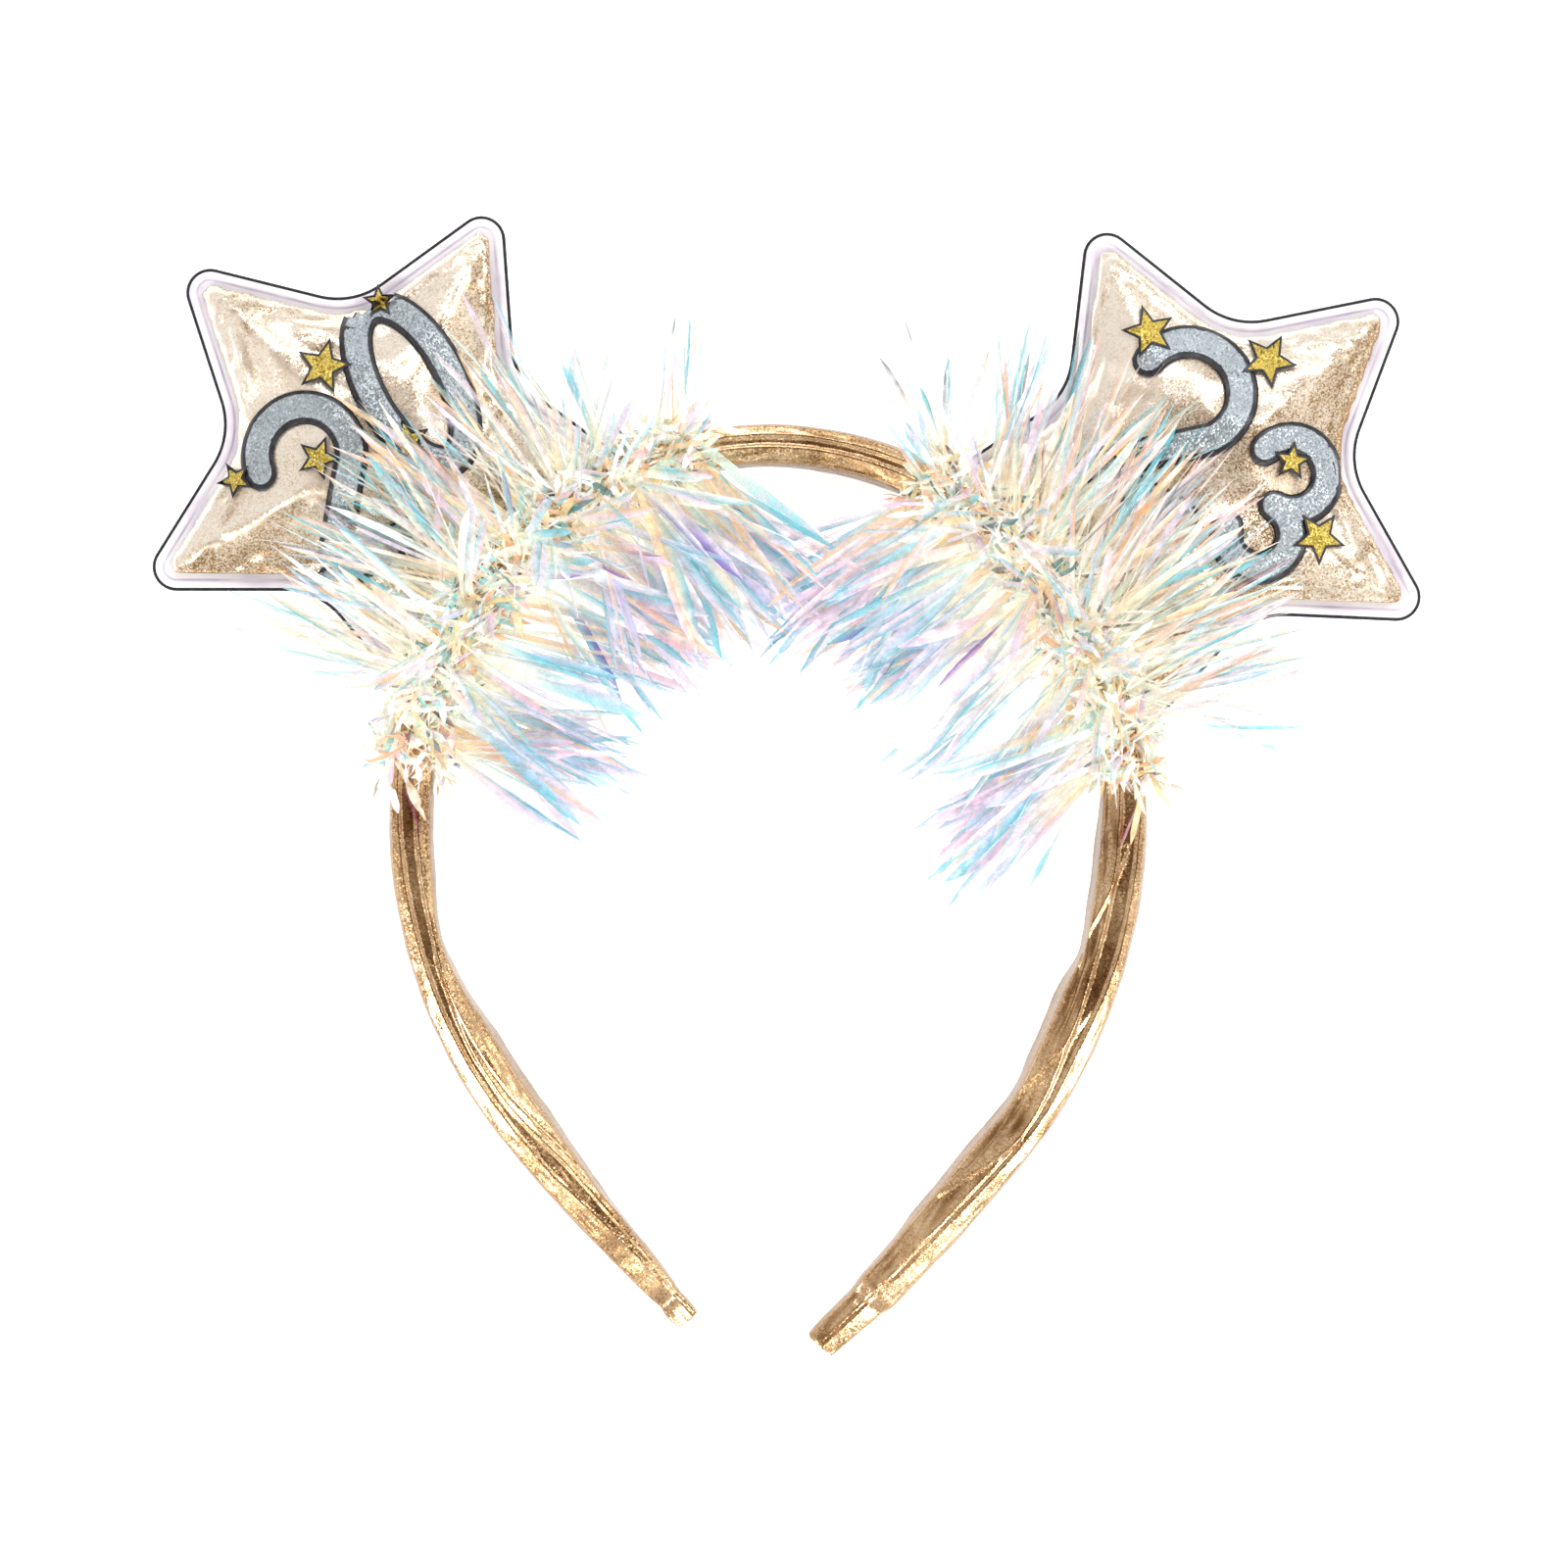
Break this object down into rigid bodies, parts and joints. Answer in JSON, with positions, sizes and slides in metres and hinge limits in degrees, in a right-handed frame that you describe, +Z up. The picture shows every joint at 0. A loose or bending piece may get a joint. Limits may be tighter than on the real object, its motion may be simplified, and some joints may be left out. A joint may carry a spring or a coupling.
{
  "type": "new year headband",
  "caption": "Head band covered in gold lamé cloth, with padded stars that carry glitter numerals, and tinsel garlands where the stars join the band.",
  "frame": {"origin": "middle of the whole part, on the table that it lies on", "axes": "+X across the head to the picture's right, +Y from the tips of the band to its arch, +Z up through the front of the stars"},
  "size_m": [0.241, 0.2148, 0.0437],
  "materials": {
    "band_lame": "gold lamé knit with a foil face",
    "star_lame": "champagne gold lamé, puffed",
    "star_film": "pale welded film with a dark cut edge",
    "silver_glitter": "silver glitter with a black outline",
    "gold_glitter": "gold glitter with a black outline",
    "tinsel_film": "clear iridescent film, cut into blades"
  },
  "bodies": {
    "root": {"band": "band_lame", "left_star_flange": "star_film", "left_star_pad": "star_lame", "left_numeral_two": "silver_glitter", "left_numeral_zero": "silver_glitter", "left_small_star_1": "gold_glitter", "left_small_star_2": "gold_glitter", "left_small_star_3": "gold_glitter", "left_small_star_4": "gold_glitter", "left_small_star_5": "gold_glitter", "left_garland": "tinsel_film", "right_star_flange": "star_film", "right_star_pad": "star_lame", "right_numeral_two": "silver_glitter", "right_numeral_three": "silver_glitter", "right_small_star_1": "gold_glitter", "right_small_star_2": "gold_glitter", "right_small_star_3": "gold_glitter", "right_small_star_4": "gold_glitter", "right_small_star_5": "gold_glitter", "right_garland": "tinsel_film"}
  },
  "joints": []
}
